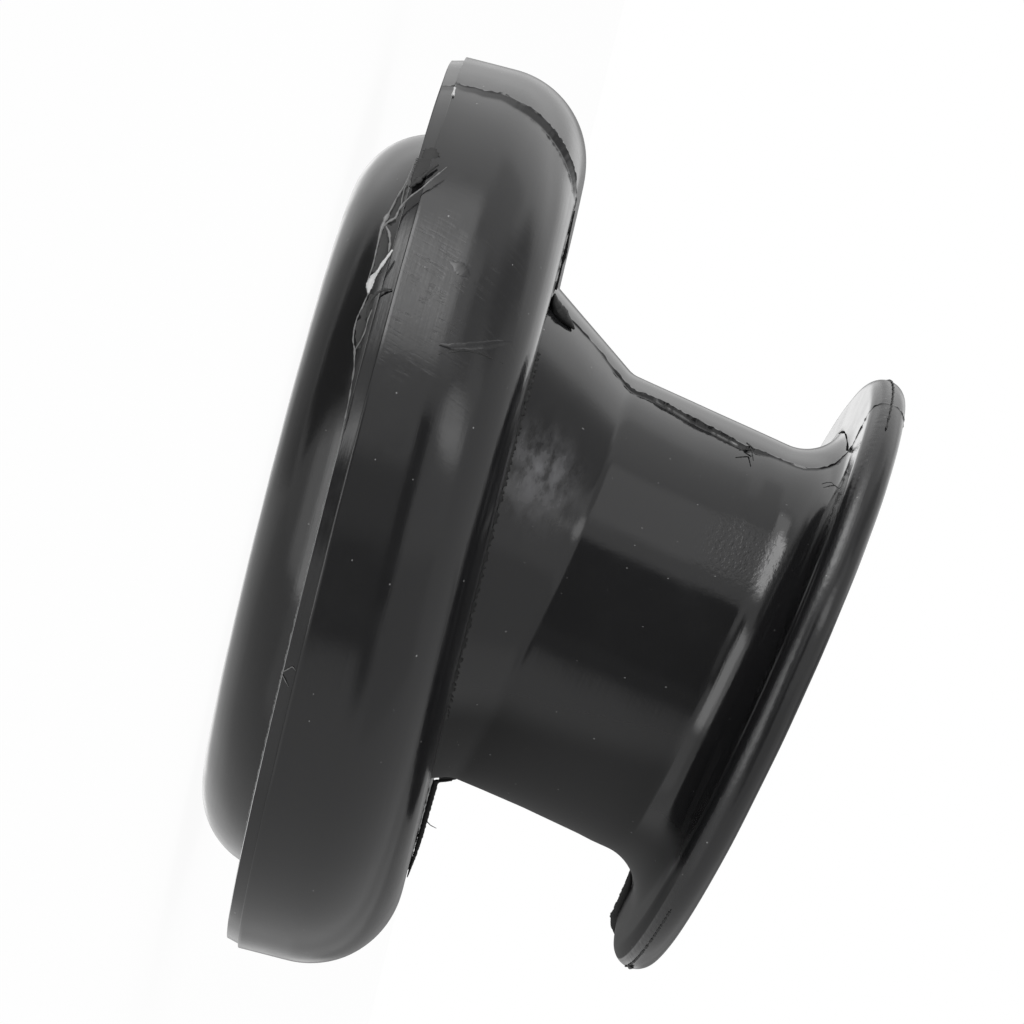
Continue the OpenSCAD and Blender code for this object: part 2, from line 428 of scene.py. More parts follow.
# Where the rubber's finish changes, in mm: places and radii of the wax bloom on the cone,
# which also stands as a patch of painted highlight, the ripples by the fillet and the
# scratches on the rim, and distances along the section to where the scratched rim, the
# fillet, the lip and its pitted edge start. Cone and sleeve turn dull, and darker as painted
# shade, towards their low side from one X on, and fillet and lip from another.
BLOOM_AND_HIGHLIGHT_AT = (-8.6, -9.9, 13.9)
BLOOM_AND_HIGHLIGHT_R = 1.9
RIPPLES_AT = (-6.4, -7.9, 25.0)
RIPPLES_R = 2.345
SCRATCHES_AT = (-19.4, -15.4, 5.7)
SCRATCHES_R = 4.9
SCRATCHES_ALONG = 31.7
FILLET_ALONG = 62
LIP_ALONG = 67.8
LIP_RIM_ALONG = 68.5
LIP_RIM_WIDTH = 0.25
DULL_AND_SHADED_FROM_SLEEVE = 2.0
DULL_AND_SHADED_FROM_LIP = 7.0
DULL_AND_SHADED_FADE = 4


def squared_distance(points, place):
    """Square of each point's distance from a place, in mm."""
    return ((points - np.reshape(place, (3, 1, 1))) ** 2).sum(axis=0)


along_mm = moulding_surface()[2]
low_wander = 0.08 * wobble(along_mm, 11, 0.5, 6.0)
high_wander = 0.025 * wobble(along_mm, 12, 0.3, 1.6)
high_wander += np.interp(along_mm, *np.transpose(HIGH_LINE))
surface, outward, along_mm, polish, flash = moulding_surface(low_wander, high_wander)
around_mm = np.unwrap(np.arctan2(surface[1], surface[0]), axis=1) * ROUND_R
# Cone and sleeve turn dull towards their low side, and their colour darker there as painted shade
dull_and_shaded_from = np.where(along_mm < FILLET_ALONG, DULL_AND_SHADED_FROM_SLEEVE, DULL_AND_SHADED_FROM_LIP)[:, None]
low_side = np.clip((surface[0] - dull_and_shaded_from) / DULL_AND_SHADED_FADE, 0, 1)
dull_and_shaded = polish[:, None] * low_side * low_side * (3 - 2 * low_side)
# A mottled grey patch on the cone: wax bloom, and painted highlight where a lamp's broad reflection
# falls
bloom_and_highlight = np.exp(-squared_distance(surface, BLOOM_AND_HIGHLIGHT_AT) / BLOOM_AND_HIGHLIGHT_R ** 2)
ripple = np.exp(-(squared_distance(surface, RIPPLES_AT) / RIPPLES_R ** 2) ** 2)
scratched = np.exp(-squared_distance(surface, SCRATCHES_AT) / SCRATCHES_R ** 2)
scratched *= (along_mm > SCRATCHES_ALONG)[:, None]
pitted = np.exp(-((along_mm - LIP_RIM_ALONG) / LIP_RIM_WIDTH) ** 2) + 0.2 * (along_mm > LIP_ALONG)
surface = dress_surface(surface, outward, along_mm, flash)
grommet = grid_mesh("grommet_moulding", surface, True, True, along_mm[:, None], around_mm, {
    "polish": polish[:, None],
    "dull_and_shaded": dull_and_shaded,
    "bloom_and_highlight": bloom_and_highlight,
    "ripple": ripple,
    "scratched": scratched,
    "pitted": pitted[:, None],
})


def to_linear(hex_colour):
    """Linear red, green, blue and alpha of an sRGB hex colour."""
    srgb = np.array([int(hex_colour[i:i + 2], 16) for i in (1, 3, 5)]) / 255
    linear = np.where(srgb <= 0.04045, srgb / 12.92, ((srgb + 0.055) / 1.055) ** 2.4)
    return (*linear.tolist(), 1.0)


def add_node(tree, kind, settings=None, inputs=None):
    """Adds a node, sets its properties, and fills or links its inputs."""
    node = tree.nodes.new(kind)
    for key, value in (settings or {}).items():
        setattr(node, key, value)
    for key, value in (inputs or {}).items():
        if isinstance(value, bpy.types.NodeSocket):
            tree.links.new(value, node.inputs[key])
        else:
            node.inputs[key].default_value = value
    return node


def moulded_epdm():
    """Black EPDM rubber as it left the steel mould: satin on nose and flange, glossier on
    cone and sleeve, dull and darker with painted shade on the sleeve's low side. Fine turning
    marks of the mould run round it, the shine is uneven in patches, wax bloom clouds the cone
    and lightens it there as painted highlight, scratches cross the rim, the end lip is pitted,
    and dust clings to it."""
    material = bpy.data.materials.new("EPDM rubber, moulded")
    material.use_nodes = True
    tree = material.node_tree
    skin = tree.nodes["Principled BSDF"]
    skin.inputs["IOR"].default_value = 1.5
    place = add_node(tree, "ShaderNodeTexCoord")
    place_mm = add_node(tree, "ShaderNodeVectorMath", {"operation": "SCALE"}, {
        0: place.outputs["Object"], "Scale": 1 / MM,
    }).outputs["Vector"]
    along_and_round = add_node(tree, "ShaderNodeUVMap", {"uv_map": "millimetres"}).outputs["UV"]

    def field(name):
        return add_node(tree, "ShaderNodeAttribute", {"attribute_name": name}).outputs["Fac"]

    def maths(operation, first, second):
        node = add_node(tree, "ShaderNodeMath", {"operation": operation}, {0: first, 1: second})
        return node.outputs[0]

    def noise(vector, sizes, detail):
        """Noise whose largest shapes are of these sizes in mm along the vector's axes."""
        placed = add_node(tree, "ShaderNodeMapping", {}, {
            "Vector": vector, "Scale": [1 / size for size in sizes],
        })
        return add_node(tree, "ShaderNodeTexNoise", {}, {
            "Vector": placed.outputs["Vector"], "Scale": 1.0, "Detail": detail, "Roughness": 0.6,
        }).outputs["Fac"]

    def spread(value, low, high, to_low=0.0, to_high=1.0):
        return add_node(tree, "ShaderNodeMapRange", {}, {
            "Value": value, "From Min": low, "From Max": high, "To Min": to_low, "To Max": to_high,
        }).outputs["Result"]

    def blend(factor, first, second):
        return add_node(tree, "ShaderNodeMix", {"data_type": "RGBA"}, {
            "Factor": factor, "A": first, "B": second,
        }).outputs["Result"]

    # Colour: black, darker on the sleeve's dull low side as painted shade, greyer where wax has
    # bloomed on the cone, which also stands as painted highlight, pale in the specks of dust,
    # which lie 2 mm or more apart and are up to 0.1 mm across
    cloud = spread(noise(place_mm, (1.111, 3.175, 0.6944), 5.0), 0.38, 0.66)
    bloomed_and_highlit = maths("MULTIPLY", field("bloom_and_highlight"), cloud)
    # Darker black on the dull low side: painted shade
    black = blend(field("dull_and_shaded"), to_linear("#1a1a1b"), to_linear("#0e0e0f"))
    tinted = blend(bloomed_and_highlit, black, to_linear("#68686a"))
    speck_spacing = 2.222
    specks = add_node(tree, "ShaderNodeTexVoronoi", {"voronoi_dimensions": "2D"}, {
        "Vector": along_and_round, "Scale": 1 / speck_spacing,
    })
    chosen = add_node(tree, "ShaderNodeSeparateColor", {}, {"Color": specks.outputs["Color"]})
    reach = spread(chosen.outputs["Red"], 0.5, 1.0, 0.0, 0.023)
    dust = maths("LESS_THAN", specks.outputs["Distance"], reach)
    tree.links.new(blend(dust, tinted, to_linear("#7c7c7c")), skin.inputs["Base Color"])

    # Shine: satin or polished as the mould was, in patches of 2 mm, and duller where the
    # rubber is scratched, bloomed or pitted. Scratches are 0.2 mm wide and run aslant.
    satin, polished, dullest = 0.14, 0.1, 0.7
    slanted = add_node(tree, "ShaderNodeMapping", {}, {
        "Vector": along_and_round, "Rotation": (0.0, 0.0, -0.25),
    })
    streaks = spread(noise(slanted.outputs["Vector"], (2.5, 0.2, 1.0), 3.0), 0.5, 0.64)
    scratches = maths("MULTIPLY", maths("MULTIPLY", field("scratched"), cloud), streaks)
    shine = spread(field("polish"), 0.0, 1.0, satin, polished)
    patches = spread(noise(place_mm, (2.0, 2.0, 2.0), 4.0), 0.3, 0.7, -0.04, 0.06)
    patchy = maths("ADD", shine, patches)
    worn = maths("MAXIMUM", maths("MULTIPLY", scratches, 0.6), maths("MULTIPLY", field("pitted"), 0.3))
    worn = maths("MAXIMUM", worn, maths("MAXIMUM", field("dull_and_shaded"), bloomed_and_highlit))
    tree.links.new(spread(worn, 0.0, 1.0, patchy, dullest), skin.inputs["Roughness"])

    # Relief in mm: grain of 0.25 mm, turning marks 0.33 mm apart that run round for 11 mm,
    # ripples of 0.2 by 0.6 mm by the fillet, pits of 0.4 mm, and scratches
    grain = noise(place_mm, (0.25, 0.25, 0.25), 3.0)
    marks = noise(along_and_round, (0.3333, 11.11, 1.0), 3.0)
    ripples = noise(along_and_round, (0.2222, 0.625, 1.0), 2.0)
    pits = noise(place_mm, (0.4167, 0.4167, 0.4167), 2.0)
    relief = maths("MULTIPLY", grain, 0.003)
    relief = maths("ADD", relief, maths("MULTIPLY", marks, 0.0055))
    relief = maths("ADD", relief, maths("MULTIPLY", ripples, maths("MULTIPLY", field("ripple"), 0.03)))
    relief = maths("ADD", relief, maths("MULTIPLY", pits, maths("MULTIPLY", field("pitted"), 0.03)))
    relief = maths("SUBTRACT", relief, maths("MULTIPLY", scratches, 0.01))
    bump = add_node(tree, "ShaderNodeBump", {}, {"Height": relief, "Distance": MM})
    tree.links.new(bump.outputs["Normal"], skin.inputs["Normal"])
    return material


epdm = moulded_epdm()
grommet.data.materials.append(epdm)
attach(grommet, "root")
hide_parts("grommet")


# The flash: rubber that was pressed out between the two halves of the mould. It's part of
# the moulding, a tenth of a millimetre thick, and was torn off by hand. What is left hangs
# from the skirt as a film with stretched strands, and stands as fins where the halves met.

def on_flange(places):
    """Points and outward directions on the flange's outside, from places given as azimuth
    in degrees, height in mm and distance in mm outside the surface."""
    azimuth, height, proud = np.array(places, float).T
    azimuth = np.radians(azimuth)
    up = np.clip((height - (BACK_Z - CORNER_R)) / CORNER_R, 0, 1)
    out = np.sqrt(1 - up ** 2)
    radius = np.where(height < BAND_TOP_Z, BAND_R, FLANGE_R - CORNER_R * (1 - out))
    spoke = np.stack([out * np.cos(azimuth), out * np.sin(azimuth), up], axis=1)
    foot = np.stack([radius * np.cos(azimuth), radius * np.sin(azimuth), height], axis=1)
    return foot + spoke * proud[:, None], spoke


def on_sleeve(places):
    """The same on the cone, the sleeve and the lip's rim, from the angle round the sleeve's
    axis in degrees, the height along it and the distance outside the surface."""
    turn, height, proud = np.array(places, float).T
    turn = np.radians(turn)
    rows = sleeve_rows()
    low = int(np.argmax(rows[:, 1]))
    radius = np.interp(height, rows[:low, 1], rows[:low, 0])
    radius = np.where(height < CONE_LEN, CONE_ROOT_R - height * math.tan(CONE_SLOPE), radius) + proud
    points = np.stack(lean(radius * np.cos(turn), radius * np.sin(turn), height), axis=1)
    axis_points = np.stack(lean(0 * turn, 0 * turn, height), axis=1)
    return points, points - axis_points


def in_parting_plane(places, aside=0.0):
    """Points from places given as X and Z in mm, moved aside along Y, and the direction
    towards the near side."""
    x, z = np.array(places, float).T
    return np.stack([x, 0 * x + aside, z], axis=1), np.tile([0.0, -1.0, 0.0], (len(x), 1))


STRIP_STEP = 0.05


def strip(placed, width, thickness, seed, ragged=0.2, sides=10):
    """A strip swept along points in mm. Its section is an ellipse that is wide across the
    path and thin in the outward direction. Both measures are one number, or one for each
    point, and the width varies by a ragged share. Returns a grid with a row for each step."""
    path, outward = placed
    length = np.concatenate([[0], np.cumsum(np.sqrt((np.diff(path, axis=0) ** 2).sum(axis=1)))])
    width = np.broadcast_to(width, length.shape)
    thickness = np.broadcast_to(thickness, length.shape)
    at = np.linspace(0, length[-1], max(4, int(length[-1] / STRIP_STEP) + 1))
    centre = np.stack([np.interp(at, length, column) for column in path.T], axis=1)
    outward = np.stack([np.interp(at, length, column) for column in outward.T], axis=1)
    for _ in range(2):
        centre[1:-1] = (centre[:-2] + 2 * centre[1:-1] + centre[2:]) / 4
    ahead = np.gradient(centre, axis=0)
    across = np.cross(ahead, outward)
    across /= np.sqrt((across ** 2).sum(axis=1, keepdims=True))
    upright = np.cross(across, ahead)
    upright /= np.sqrt((upright ** 2).sum(axis=1, keepdims=True))
    uneven = 1 + ragged * wobble(at, seed, 0.12, 1.2)
    half_width = np.interp(at, length, width) / 2 * np.clip(uneven, 0.3, 1.8)
    half_thick = np.interp(at, length, thickness) / 2
    turn = 2 * math.pi * np.arange(sides) / sides
    wide = across[:, None] * (half_width[:, None] * np.cos(turn))[:, :, None]
    thin = upright[:, None] * (half_thick[:, None] * np.sin(turn))[:, :, None]
    return np.moveaxis(centre[:, None] + wide + thin, -1, 0)


def strips_mesh(name, grids):
    """One object of several swept strips, each closed at both ends."""
    points, corners, counts = [], [], []
    first = 0
    for grid in grids:
        rows, sides = grid.shape[1:]
        index = first + np.arange(rows * sides).reshape(rows, sides)
        beside = np.roll(index, -1, axis=1)
        quads = np.stack([index[:-1], index[1:], beside[1:], beside[:-1]], axis=-1)
        corners += [quads.ravel(), index[0], index[-1, ::-1]]
        counts += [np.full((rows - 1) * sides, 4), [sides, sides]]
        points.append(grid.reshape(3, -1).T)
        first += rows * sides
    corners = np.concatenate(corners)
    counts = np.concatenate(counts)
    points = np.concatenate(points)
    mesh = bpy.data.meshes.new(name)
    mesh.vertices.add(len(points))
    mesh.loops.add(len(corners))
    mesh.polygons.add(len(counts))
    mesh.vertices.foreach_set("co", (points * MM).astype(np.float32).ravel())
    mesh.loops.foreach_set("vertex_index", corners.astype(np.int32))
    mesh.polygons.foreach_set("loop_start", (np.cumsum(counts) - counts).astype(np.int32))
    mesh.polygons.foreach_set("use_smooth", np.ones(len(counts), bool))
    mesh.update(calc_edges=True)
    mesh.validate()
    mesh.set_sharp_from_angle(angle=math.radians(50))
    piece = bpy.data.objects.new(name, mesh)
    bpy.context.scene.collection.objects.link(piece)
    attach(piece, "root")
    return piece


def torn_epdm(name, colour, roughness):
    """The same rubber where it was torn. Thick pieces show a matt black broken skin; thin
    film and strands are grey to white, partly for dust and partly as painted highlight where
    their thin edges catch the light, and shine a little."""
    material = bpy.data.materials.new(name)
    material.use_nodes = True
    skin = material.node_tree.nodes["Principled BSDF"]
    skin.inputs["Base Color"].default_value = to_linear(colour)
    skin.inputs["Roughness"].default_value = roughness
    return material


torn_black = torn_epdm("EPDM rubber, torn", "#0d0d0d", 0.6)
# Grey and white thin flash: partly dust, partly painted highlight where thin edges catch the light
grey_dust_and_highlight = torn_epdm("EPDM rubber, grey with dust and painted highlight", "#6c6c6c", 0.35)
white_dust_and_highlight = torn_epdm("EPDM rubber, white with dust and painted highlight", "#c4c4c4", 0.35)

# Torn strands along the skirt's free edge, and tags that stand off it, grey partly for dust
# and partly as painted highlight on their thin edges
strands = strips_mesh("torn_flash_strands", [
    strip(on_flange([(211.7, 2.78, 0.02), (212.6, 3.05, 0.05), (214.0, 3.24, 0.06),
                     (215.4, 3.3, 0.03)]),
          [0.08, 0.14, 0.14, 0.06], 0.06, 37),
    strip(on_flange([(199.2, 3.4, 0.02), (202.2, 3.28, 0.06), (204.4, 3.2, 0.1), (207.4, 2.94, 0.15),
                     (209.5, 2.81, 0.15), (210.9, 2.67, 0.1), (212.5, 2.61, 0.05), (214.4, 2.64, 0),
                     (217.7, 2.7, 0), (219.3, 2.66, 0), (221.2, 2.72, 0)]),
          [0.05, 0.06, 0.07, 0.07, 0.1, 0.22, 0.16, 0.08, 0.07, 0.07, 0.06], 0.06, 31),
    strip(on_flange([(203.3, 3.3, 0.02), (205.5, 3.2, 0.08), (207.2, 3.22, 0.06), (208.2, 3.28, 0)]),
          0.06, 0.06, 32),
    strip(on_flange([(201.4, 5.05, 0.45), (203.6, 4.54, 0.42), (205.3, 4.09, 0.4), (206.8, 3.64, 0.3),
                     (208.0, 3.37, 0.22), (209.0, 3.24, 0.2), (210.5, 3.17, 0.2), (211.2, 2.86, 0.12),
                     (212.0, 2.67, 0.05)]),
          [0.04, 0.08, 0.08, 0.08, 0.09, 0.1, 0.12, 0.12, 0.1], 0.07, 33),
    strip(on_flange([(223.6, 3.25, 0.05), (225.0, 3.19, 0.08), (226.6, 3.2, 0.1), (228.0, 3.1, 0.08),
                     (229.1, 2.95, 0.03)]),
          [0.05, 0.06, 0.06, 0.06, 0.05], 0.05, 34),
    strip(on_flange([(221.4, 2.86, 0), (223.6, 2.74, 0), (225.1, 2.62, 0), (226.7, 2.63, 0),
                     (228.0, 2.72, 0), (229.1, 2.93, 0.02), (231.5, 3.16, 0.04), (235.5, 3.32, 0.03),
                     (240.1, 3.4, 0.02), (246.0, 3.4, 0.02), (252.0, 3.38, 0.02)]),
          [0.1, 0.07, 0.07, 0.07, 0.08, 0.08, 0.06, 0.05, 0.05, 0.05, 0.03], 0.05, 35, 0.35),
    strip(on_flange([(a, 3.4, 0.0) for a in range(252, 299, 3)]), 0.035, 0.05, 38, 0.9),
    strip(on_flange([(268.7, 4.06, 0.02), (268.3, 3.85, 0.03), (268.9, 3.62, 0.03),
                     (269.4, 3.38, 0.01)]),
          [0.03, 0.06, 0.07, 0.05], 0.05, 39),
    strip(on_flange([(271.0, 3.9, 0.02), (270.3, 3.66, 0.04), (269.6, 3.4, 0.02)]),
          [0.03, 0.05, 0.05], 0.05, 40),
])
strands.data.materials.append(grey_dust_and_highlight)

# Film that is white, partly for dust and partly as painted highlight on its thin edges: a
# scrap at the high side's parting line, and the roll of film among the strands
roll = strips_mesh("torn_flash_roll", [
    strip(on_flange([(184.0, 4.23, -0.05), (181.4, 4.2, -0.07)]), [0.16, 0.1], 0.08, 47),
    strip(on_flange([(215.4, 3.47, 0.32), (216.7, 3.3, 0.34), (217.8, 3.14, 0.3), (218.9, 2.99, 0.2),
                     (219.4, 2.86, 0.1), (220.5, 2.79, 0.03), (221.5, 2.84, 0)]),
          [0.1, 0.15, 0.16, 0.17, 0.28, 0.34, 0.12],
          [0.1, 0.14, 0.14, 0.14, 0.12, 0.1, 0.06], 36, 0.15),
])
roll.data.materials.append(white_dust_and_highlight)

# Films that are still whole: a flap at the upper end, those between skirt and strands, and
# the arc below the roll
films = strips_mesh("torn_flash_film", [
    strip(on_flange([(197.6, 4.1, 0.06), (199.4, 3.98, 0.1), (201.2, 3.86, 0.12), (202.8, 3.66, 0.12),
                     (204.8, 3.5, 0.1)]),
          [0.5, 0.95, 1.0, 0.62, 0.12], [0.08, 0.1, 0.12, 0.1, 0.06], 41, 0.15),
    strip(on_flange([(200.6, 4.56, 0.14), (202.0, 4.2, 0.2), (203.4, 3.84, 0.2), (205.0, 3.46, 0.12)]),
          [0.1, 0.22, 0.3, 0.2], 0.1, 42),
    strip(on_flange([(204.6, 3.3, 0.0), (207.4, 3.14, 0.02), (210.0, 3.02, 0.02), (211.4, 2.94, 0)]),
          [0.1, 0.36, 0.5, 0.3], 0.05, 43),
    strip(on_flange([(212.2, 2.86, 0.0), (214.4, 2.98, -0.02), (216.4, 3.0, -0.02), (218.6, 2.94, 0)]),
          [0.3, 0.62, 0.6, 0.4], 0.05, 44),
    strip(on_flange([(221.6, 3.08, 0.0), (223.2, 3.02, 0.02), (225.0, 2.94, 0.02), (227.0, 2.94, 0.02),
                     (228.8, 3.1, 0)]),
          [0.2, 0.42, 0.5, 0.44, 0.2], 0.05, 45),
    strip(on_flange([(220.3, 3.98, 0.03), (220.5, 3.68, 0.03), (221.2, 3.27, 0.03),
                     (222.3, 3.07, 0.03), (223.4, 3.02, 0.03), (224.6, 3.05, 0.03)]),
          [0.06, 0.14, 0.18, 0.16, 0.12, 0.04], 0.06, 46),
])
films.data.materials.append(torn_black)

# Fins and lumps where the two halves met: at the foot of the cone on both sides, on the
# back face and on the end lip, with the torn end that curls up beside it. The last ones are
# hairs, a star-shaped tag on the sleeve, and the crease beside the flow line.
fins = strips_mesh("parting_line_fins", [
    strip(in_parting_plane([(-14.85, 12.02), (-14.45, 12.1), (-14.05, 12.33), (-13.75, 12.75),
                            (-13.46, 13.15), (-13.2, 13.5)], -0.45),
          [0.12, 0.5, 0.76, 0.7, 0.42, 0.1], [0.3, 0.9, 1.2, 1.2, 0.7, 0.2], 51, 0.06),
    strip(in_parting_plane([(-19.6, 11.96), (-18.0, 12.0), (-17.3, 12.03), (-16.9, 12.03),
                            (-16.4, 12.01), (-14.95, 12.02)]),
          [0.08, 0.1, 0.18, 0.2, 0.1, 0.12], 0.06, 52, 0.05),
    strip(in_parting_plane([(21.0, 11.94), (20.4, 11.98), (19.5, 12.05), (18.4, 12.1), (16.4, 12.14),
                            (15.1, 12.17), (14.9, 12.2)]),
          [0.06, 0.14, 0.22, 0.28, 0.32, 0.34, 0.34], 0.1, 53, 0.06),
    strip(in_parting_plane([(14.96, 12.1), (14.85, 12.4), (14.73, 12.72), (14.61, 13.03)]),
          [0.2, 0.18, 0.18, 0.12], 0.12, 54, 0.06),
    strip(in_parting_plane([(14.5, 12.3), (14.45, 12.9), (14.2, 13.6)]),
          [0.6, 0.5, 0.1], 0.06, 55, 0.06),
    strip(in_parting_plane([(17.2, 23.8), (17.9, 23.88), (18.7, 23.82), (19.5, 23.7), (20.1, 23.64),
                            (20.7, 23.72), (21.2, 23.84)]),
          [0.1, 0.4, 0.5, 0.5, 0.62, 0.5, 0.1], 0.12, 56, 0.06),
    strip(in_parting_plane([(-10.1, 29.36), (-10.45, 29.3), (-10.7, 29.2), (-11.0, 29.06),
                            (-11.12, 28.92), (-10.95, 28.68)]),
          [0.16, 0.1, 0.06, 0.1, 0.16, 0.05], 0.08, 57),
    strip(in_parting_plane([(17.4, 12.2), (17.6, 12.5), (17.68, 12.84)]),
          [0.08, 0.05, 0.03], 0.05, 58),
    strip(on_sleeve([(180.8, 14.5, 0.0), (181.8, 14.72, 0.01), (182.6, 15.0, 0.0)]),
          [0.04, 0.16, 0.06], 0.08, 59),
    strip(on_sleeve([(186.6, 14.2, -0.01), (183.4, 14.82, 0.0)]), [0.05, 0.09], 0.06, 60),
    strip(on_sleeve([(183.4, 14.85, 0.0), (188.4, 15.1, -0.01)]), [0.09, 0.04], 0.06, 61),
    strip(on_sleeve([(191.4, 18.9, -0.01), (191.6, 19.1, 0.0), (192.8, 19.3, 0.0),
                     (195.4, 19.44, -0.01)]),
          [0.04, 0.05, 0.05, 0.04], 0.04, 62),
    strip(on_flange([(227.2, 7.18, -0.03), (226.2, 7.97, -0.02), (225.5, 8.6, -0.015),
                     (225.2, 9.25, -0.015), (225.1, 9.78, -0.02), (224.8, 10.52, -0.03)]),
          [0.04, 0.09, 0.1, 0.1, 0.09, 0.04], 0.04, 82, 0.3),
])
fins.data.materials.append(torn_black)

# A ragged black strip round the foot of the cone on the near side: painted shade in the
# corner where the back face meets the cone, and a ragged edge of rubber there. It follows
# every second column of the moulding's row there
FOOT_ALONG = 48.8
FOOT_COLUMNS = slice(-90, -34, 2)
foot_row = int(np.argmax(along_mm > FOOT_ALONG))
foot_path = surface[:, foot_row, FOOT_COLUMNS].T
foot_outward = outward[:, foot_row, FOOT_COLUMNS].T
# The strip is black as painted shade in the corner at the cone's foot
foot_shade_line = strips_mesh("cone_foot_shade_line", [
    strip((foot_path, foot_outward), 0.24, 0.12, 63, 0.8),
])
foot_shade_line.data.materials.append(torn_black)

# The line round the end lip's rim, where the mould's core met its cavity, breaks off in
# the middle of the near side
rim_line = strips_mesh("lip_rim_line", [
    strip(on_sleeve([(t, 20.62, 0.0) for t in range(150, 191, 4)]), 0.08, 0.07, 71, 0.4),
    strip(on_sleeve([(t, 20.52, 0.0) for t in range(297, 337, 4)]), 0.09, 0.08, 72, 0.7),
    strip(on_sleeve([(327.0, 20.64, 0.02), (329.5, 20.66, 0.06)]), [0.3, 0.2], [0.12, 0.1], 73),
])
rim_line.data.materials.append(torn_black)

# A cold flow line: a fold in the rubber that crosses the flange's back corner, and a small
# flat lump above it
flow_line = strips_mesh("flow_line", [
    strip(on_flange([(225.9, 7.1, -0.05), (225.8, 7.67, -0.03), (225.1, 8.45, -0.025),
                     (224.1, 9.28, -0.025), (222.8, 10.01, -0.03), (221.3, 10.7, -0.05)]),
          [0.2, 0.38, 0.46, 0.48, 0.42, 0.2], 0.1, 81, 0.05, sides=20),
    strip(on_flange([(214.7, 6.5, -0.07), (215.1, 6.95, -0.045), (215.7, 7.4, -0.045),
                     (216.0, 7.7, -0.07)]),
          [0.3, 0.7, 0.9, 0.3], 0.1, 83, 0.1, sides=20),
])
flow_line.data.materials.append(torn_epdm("EPDM rubber, folded", "#1a1a1b", 0.25))


# The studio: a white floor and surround, two soft boxes that light the rubber but don't
# show in it, and a tent round it whose lit windows and dark flags show in its shine.

# How bright the surround is for matt surfaces, and how much of the floor's white is its own
SURROUND_ON_MATT = 0.8
FLOOR_GLOW = 0.95


def white_in_view(tree):
    """Share of white that the camera and clear or shiny surfaces see, instead of the light
    that falls on matt ones."""
    rays = add_node(tree, "ShaderNodeLightPath")
    seen = add_node(tree, "ShaderNodeMath", {"operation": "MAXIMUM"}, {
        0: rays.outputs["Is Camera Ray"], 1: rays.outputs["Is Glossy Ray"],
    })
    return add_node(tree, "ShaderNodeMath", {"operation": "MAXIMUM"}, {
        0: seen.outputs[0], 1: rays.outputs["Is Transmission Ray"],
    })


world = bpy.data.worlds.new("white surround")
bpy.context.scene.world = world
world.use_nodes = True
world_tree = world.node_tree
world_tree.nodes.clear()
world_strength = add_node(world_tree, "ShaderNodeMapRange", {}, {
    "Value": white_in_view(world_tree).outputs[0], "To Min": SURROUND_ON_MATT, "To Max": 1.0,
})
background = add_node(world_tree, "ShaderNodeBackground", {}, {
    "Color": (1, 1, 1, 1), "Strength": world_strength.outputs["Result"],
})
add_node(world_tree, "ShaderNodeOutputWorld", {}, {"Surface": background.outputs["Background"]})

FLOOR_HALF = 900.0
floor_x, floor_y = np.meshgrid([-FLOOR_HALF, FLOOR_HALF], [-FLOOR_HALF, FLOOR_HALF])
floor = grid_mesh("floor", np.stack([floor_x, floor_y, 0 * floor_x]), False, False)
floor_paint = bpy.data.materials.new("matt white floor")
floor_paint.use_nodes = True
floor_tree = floor_paint.node_tree
floor_tree.nodes.clear()
matt = add_node(floor_tree, "ShaderNodeBsdfDiffuse", {}, {"Color": to_linear("#f2f2f2")})
glow = add_node(floor_tree, "ShaderNodeEmission", {}, {"Strength": 1.0})
amount = add_node(floor_tree, "ShaderNodeMath", {"operation": "MULTIPLY"}, {
    0: white_in_view(floor_tree).outputs[0], 1: FLOOR_GLOW,
})
mixed = add_node(floor_tree, "ShaderNodeMixShader", {}, {
    0: amount.outputs[0], 1: matt.outputs[0], 2: glow.outputs[0],
})
add_node(floor_tree, "ShaderNodeOutputMaterial", {}, {"Surface": mixed.outputs[0]})
floor.data.materials.append(floor_paint)
floor.visible_glossy = False

# Azimuth in degrees that the camera looks from, and the middle of the part in mm
CAMERA_SIDE = -113
PART_MIDDLE = np.array([0.0, 0.0, 14.0])


def soft_box(name, aside_deg, height_deg, distance, width, height, brightness):
    """A rectangular lamp that faces the part, from a direction in degrees to the side of the
    camera and above the horizon. Its power is brightness times pi times area."""
    around = math.radians(CAMERA_SIDE + aside_deg)
    above = math.radians(height_deg)
    outward = math.cos(above)
    away = np.array([math.cos(around) * outward, math.sin(around) * outward, math.sin(above)])
    lamp = bpy.data.lights.new(name, "AREA")
    lamp.shape = "RECTANGLE"
    lamp.size = width * MM
    lamp.size_y = height * MM
    lamp.energy = brightness * math.pi * width * height * MM * MM
    holder = bpy.data.objects.new(name, lamp)
    holder.visible_camera = False
    holder.visible_glossy = False
    bpy.context.scene.collection.objects.link(holder)
    spot = Vector((PART_MIDDLE + away * distance).tolist()) * MM
    turned = Vector((-away).tolist()).to_track_quat("-Z", "Y")
    holder.matrix_world = Matrix.LocRotScale(spot, turned, None)


soft_box("soft_box_high", -27, 45, 300, 75, 115, 4.0)
soft_box("soft_box_side", -62, 0, 120, 110, 42, 2.2)


def window(aside, height, sides, soft):
    """How far each direction lies inside a window, from 0 to 1 with soft edges. Its sides
    are the least and greatest angle to the side and above the horizon, in degrees."""
    left, right, low, high = sides
    middle, half = (left + right) / 2, (right - left) / 2
    to_side = np.abs((aside - middle + 180) % 360 - 180)
    across = np.clip((half - to_side) / soft + 0.5, 0, 1)
    upward = np.clip((high - height) / soft + 0.5, 0, 1) * np.clip((height - low) / soft + 0.5, 0, 1)
    share = across * upward
    return share * share * (3 - 2 * share)


